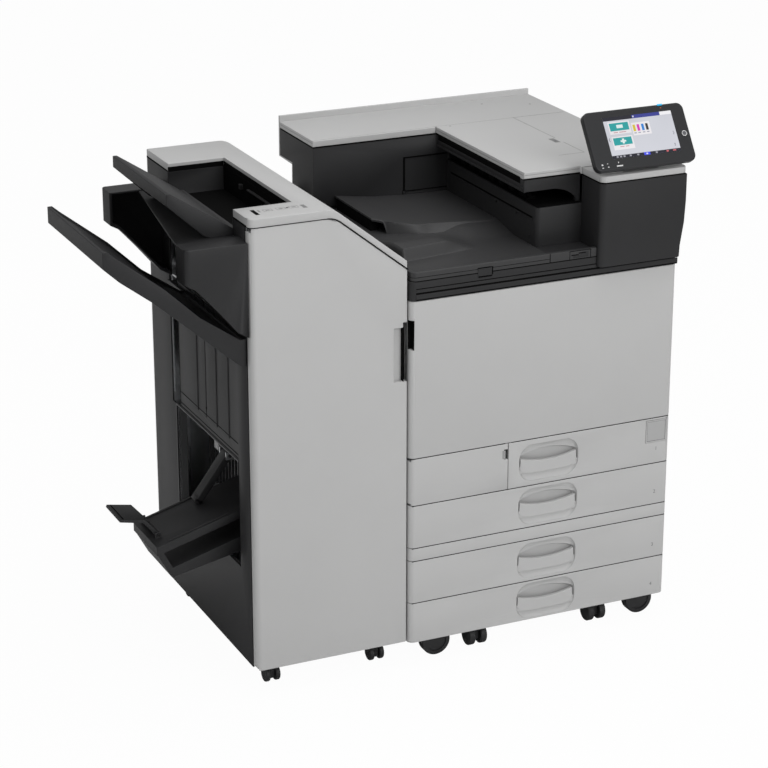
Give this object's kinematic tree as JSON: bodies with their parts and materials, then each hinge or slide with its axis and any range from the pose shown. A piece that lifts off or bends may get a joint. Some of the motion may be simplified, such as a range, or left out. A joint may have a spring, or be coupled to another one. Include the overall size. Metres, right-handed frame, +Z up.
{
  "type": "photocopier",
  "caption": "Floor-standing colour copier with stacked paper trays, an output bay, a tilting touch panel and a booklet finisher docked on its left side.",
  "frame": {"origin": "on the floor, under the middle of the whole object's box", "axes": "+X to the machine's right, +Y to its back, +Z up"},
  "size_m": [1.208, 0.6685, 1.089],
  "materials": {
    "cover_grey": "fine moulded texture, light neutral grey",
    "dark_plastic": "fine moulded texture, charcoal",
    "panel_shell": "satin, dark grey",
    "display": "glossy lit display",
    "button_grey": "satin",
    "frame_steel": "zinc-plated sheet",
    "optics_case": "moulded",
    "photoconductor": "smooth coated drum",
    "belt_film": "smooth film",
    "silicone": "smooth silicone rubber",
    "wheel_grey": "moulded tread",
    "toner_black": "moulded",
    "toner_cyan": "moulded",
    "toner_magenta": "moulded",
    "toner_yellow": "moulded"
  },
  "bodies": {
    "machine": {"chassis": "frame_steel", "side_covers": "cover_grey", "rear_cover": "cover_grey", "front_band": "cover_grey", "bay_frame": "dark_plastic", "bay_housing": "dark_plastic", "output_tray": "dark_plastic", "exit_housing": "dark_plastic", "control_housing": "dark_plastic", "top_cover": "cover_grey", "panel_base": "cover_grey", "writing_unit": "optics_case", "transfer_belt": "belt_film", "drum_units": "photoconductor", "power_inlet": "dark_plastic", "fasteners": "frame_steel", "caster_brackets": "dark_plastic", "finisher_frame": "frame_steel", "finisher_left_cover": "dark_plastic", "finisher_rear_cover": "cover_grey", "finisher_top_cover": "cover_grey", "tray_shroud": "dark_plastic", "upper_tray": "dark_plastic", "booklet_tray": "dark_plastic"},
    "operation_panel": {"operation_panel": "panel_shell", "panel_screen": "display"},
    "front_door": {"front_door": "cover_grey"},
    "waste_toner_door": {"waste_toner_door": "cover_grey"},
    "right_door": {"right_door": "cover_grey"},
    "bypass_tray": {"bypass_tray": "dark_plastic"},
    "paper_tray_1": {"paper_tray_1": "cover_grey"},
    "paper_tray_2": {"paper_tray_2": "cover_grey"},
    "paper_tray_3": {"paper_tray_3": "cover_grey"},
    "paper_tray_4": {"paper_tray_4": "cover_grey"},
    "toner_bottle_black": {"toner_bottle_black": "toner_black"},
    "toner_bottle_cyan": {"toner_bottle_cyan": "toner_cyan"},
    "toner_bottle_magenta": {"toner_bottle_magenta": "toner_magenta"},
    "toner_bottle_yellow": {"toner_bottle_yellow": "toner_yellow"},
    "fuser_roller": {"fuser_roller": "silicone"},
    "pressure_roller": {"pressure_roller": "silicone"},
    "home_button": {"home_button": "button_grey"},
    "finisher_front_door": {"finisher_front_door": "cover_grey"},
    "shift_tray": {"shift_tray": "dark_plastic"},
    "booklet_flap": {"booklet_flap": "dark_plastic"},
    "booklet_arm": {"booklet_arm": "dark_plastic"},
    "finisher_exit_roller": {"finisher_exit_roller": "frame_steel"},
    "stapler": {"stapler": "dark_plastic"},
    "front_caster_left": {"front_caster_left": "dark_plastic"},
    "front_wheel_left": {"front_wheel_left": "wheel_grey"},
    "front_caster_right": {"front_caster_right": "dark_plastic"},
    "front_wheel_right": {"front_wheel_right": "wheel_grey"},
    "rear_wheel_left": {"rear_wheel_left": "wheel_grey"},
    "rear_wheel_right": {"rear_wheel_right": "wheel_grey"},
    "middle_wheels_left": {"middle_wheels_left": "wheel_grey"},
    "middle_wheels_right": {"middle_wheels_right": "wheel_grey"},
    "finisher_caster_left": {"finisher_caster_left": "dark_plastic"},
    "finisher_wheels_left": {"finisher_wheels_left": "wheel_grey"},
    "finisher_caster_right": {"finisher_caster_right": "dark_plastic"},
    "finisher_wheels_right": {"finisher_wheels_right": "wheel_grey"},
    "finisher_rear_axle": {"finisher_rear_axle": "wheel_grey"}
  },
  "joints": [
    {"name": "front_door_hinge", "type": "hinge", "parent": "machine", "child": "front_door", "pos_m": [0.575, -0.29727, 0.6], "axis": [0, 0, 1], "range_deg": [0, 100]},
    {"name": "waste_toner_door_hinge", "type": "hinge", "parent": "machine", "child": "waste_toner_door", "pos_m": [-0.0015, -0.30877, 0.4], "axis": [0, 0, 1], "range_deg": [-95, 0]},
    {"name": "right_door_hinge", "type": "hinge", "parent": "machine", "child": "right_door", "pos_m": [0.575, 0.19973, 0.6], "axis": [0, 0, 1], "range_deg": [0, 80]},
    {"name": "bypass_tray_hinge", "type": "hinge", "parent": "right_door", "child": "bypass_tray", "pos_m": [0.575, 0.00473, 0.477], "axis": [0, 1, 0], "range_deg": [0, 75]},
    {"name": "paper_tray_1_slide", "type": "slide", "parent": "machine", "child": "paper_tray_1", "axis": [0, -1, 0], "range_m": [0, 0.4]},
    {"name": "paper_tray_2_slide", "type": "slide", "parent": "machine", "child": "paper_tray_2", "axis": [0, -1, 0], "range_m": [0, 0.4]},
    {"name": "paper_tray_3_slide", "type": "slide", "parent": "machine", "child": "paper_tray_3", "axis": [0, -1, 0], "range_m": [0, 0.4]},
    {"name": "paper_tray_4_slide", "type": "slide", "parent": "machine", "child": "paper_tray_4", "axis": [0, -1, 0], "range_m": [0, 0.4]},
    {"name": "toner_bottle_black_turn", "type": "hinge", "parent": "machine", "child": "toner_bottle_black", "pos_m": [0.071, -0.06527, 0.712], "axis": [0, 1, 0], "continuous": true},
    {"name": "toner_bottle_cyan_turn", "type": "hinge", "parent": "machine", "child": "toner_bottle_cyan", "pos_m": [0.171, -0.06527, 0.712], "axis": [0, 1, 0], "continuous": true},
    {"name": "toner_bottle_magenta_turn", "type": "hinge", "parent": "machine", "child": "toner_bottle_magenta", "pos_m": [0.271, -0.06527, 0.712], "axis": [0, 1, 0], "continuous": true},
    {"name": "toner_bottle_yellow_turn", "type": "hinge", "parent": "machine", "child": "toner_bottle_yellow", "pos_m": [0.371, -0.06527, 0.712], "axis": [0, 1, 0], "continuous": true},
    {"name": "fuser_roller_turn", "type": "hinge", "parent": "machine", "child": "fuser_roller", "pos_m": [0.477, -0.06527, 0.7], "axis": [0, 1, 0], "continuous": true},
    {"name": "pressure_roller_turn", "type": "hinge", "parent": "machine", "child": "pressure_roller", "pos_m": [0.5134, -0.06527, 0.7], "axis": [0, 1, 0], "continuous": true},
    {"name": "panel_tilt", "type": "hinge", "parent": "machine", "child": "operation_panel", "pos_m": [0.491, -0.30327, 0.9845], "axis": [1, 0, 0], "range_deg": [-40, 10]},
    {"name": "home_button_press", "type": "slide", "parent": "operation_panel", "child": "home_button", "axis": [0, 0.829, -0.5592], "range_m": [0, 0.0008], "stiffness_N_per_m": 300},
    {"name": "finisher_front_door_hinge", "type": "hinge", "parent": "machine", "child": "finisher_front_door", "pos_m": [-0.3245, -0.30077, 0.5], "axis": [0, 0, 1], "range_deg": [-90, 0]},
    {"name": "shift_tray_lift", "type": "slide", "parent": "machine", "child": "shift_tray", "axis": [0, 0, -1], "range_m": [0, 0.235]},
    {"name": "booklet_flap_hinge", "type": "hinge", "parent": "machine", "child": "booklet_flap", "pos_m": [-0.473, -0.11327, 0.3155], "axis": [0, 1, 0], "range_deg": [-25, 40]},
    {"name": "booklet_arm_hinge", "type": "hinge", "parent": "machine", "child": "booklet_arm", "pos_m": [-0.303, -0.09627, 0.436], "axis": [0, 1, 0], "range_deg": [0, 20]},
    {"name": "finisher_exit_roller_turn", "type": "hinge", "parent": "machine", "child": "finisher_exit_roller", "pos_m": [-0.317, -0.04327, 0.764], "axis": [0, 1, 0], "continuous": true},
    {"name": "stapler_slide", "type": "slide", "parent": "machine", "child": "stapler", "axis": [0, 1, 0], "range_m": [0, 0.22]},
    {"name": "front_caster_left_swivel", "type": "hinge", "parent": "machine", "child": "front_caster_left", "pos_m": [0.056, -0.27027, 0.06], "axis": [0, 0, 1], "continuous": true},
    {"name": "front_wheel_left_roll", "type": "hinge", "parent": "front_caster_left", "child": "front_wheel_left", "pos_m": [0.07, -0.27027, 0.031], "axis": [0, 1, 0], "continuous": true},
    {"name": "front_caster_right_swivel", "type": "hinge", "parent": "machine", "child": "front_caster_right", "pos_m": [0.528, -0.27027, 0.06], "axis": [0, 0, 1], "continuous": true},
    {"name": "front_wheel_right_roll", "type": "hinge", "parent": "front_caster_right", "child": "front_wheel_right", "pos_m": [0.542, -0.27027, 0.031], "axis": [0, 1, 0], "continuous": true},
    {"name": "rear_wheel_left_roll", "type": "hinge", "parent": "machine", "child": "rear_wheel_left", "pos_m": [0.07, 0.20473, 0.031], "axis": [1, 0, 0], "continuous": true},
    {"name": "rear_wheel_right_roll", "type": "hinge", "parent": "machine", "child": "rear_wheel_right", "pos_m": [0.503, 0.20473, 0.031], "axis": [1, 0, 0], "continuous": true},
    {"name": "middle_wheels_left_roll", "type": "hinge", "parent": "machine", "child": "middle_wheels_left", "pos_m": [0.164, -0.26527, 0.021], "axis": [1, 0, 0], "continuous": true},
    {"name": "middle_wheels_right_roll", "type": "hinge", "parent": "machine", "child": "middle_wheels_right", "pos_m": [0.4405, -0.26527, 0.021], "axis": [1, 0, 0], "continuous": true},
    {"name": "finisher_caster_left_swivel", "type": "hinge", "parent": "machine", "child": "finisher_caster_left", "pos_m": [-0.2775, -0.23427, 0.05], "axis": [0, 0, 1], "continuous": true},
    {"name": "finisher_wheels_left_roll", "type": "hinge", "parent": "finisher_caster_left", "child": "finisher_wheels_left", "pos_m": [-0.2775, -0.24527, 0.016], "axis": [1, 0, 0], "continuous": true},
    {"name": "finisher_caster_right_swivel", "type": "hinge", "parent": "machine", "child": "finisher_caster_right", "pos_m": [-0.0515, -0.23427, 0.05], "axis": [0, 0, 1], "continuous": true},
    {"name": "finisher_wheels_right_roll", "type": "hinge", "parent": "finisher_caster_right", "child": "finisher_wheels_right", "pos_m": [-0.0515, -0.24527, 0.016], "axis": [1, 0, 0], "continuous": true},
    {"name": "finisher_rear_axle_roll", "type": "hinge", "parent": "machine", "child": "finisher_rear_axle", "pos_m": [-0.1645, 0.18973, 0.016], "axis": [1, 0, 0], "continuous": true}
  ],
  "couplings": [
    {"joint": "pressure_roller_turn", "follows": "fuser_roller_turn", "ratio": -1}
  ]
}
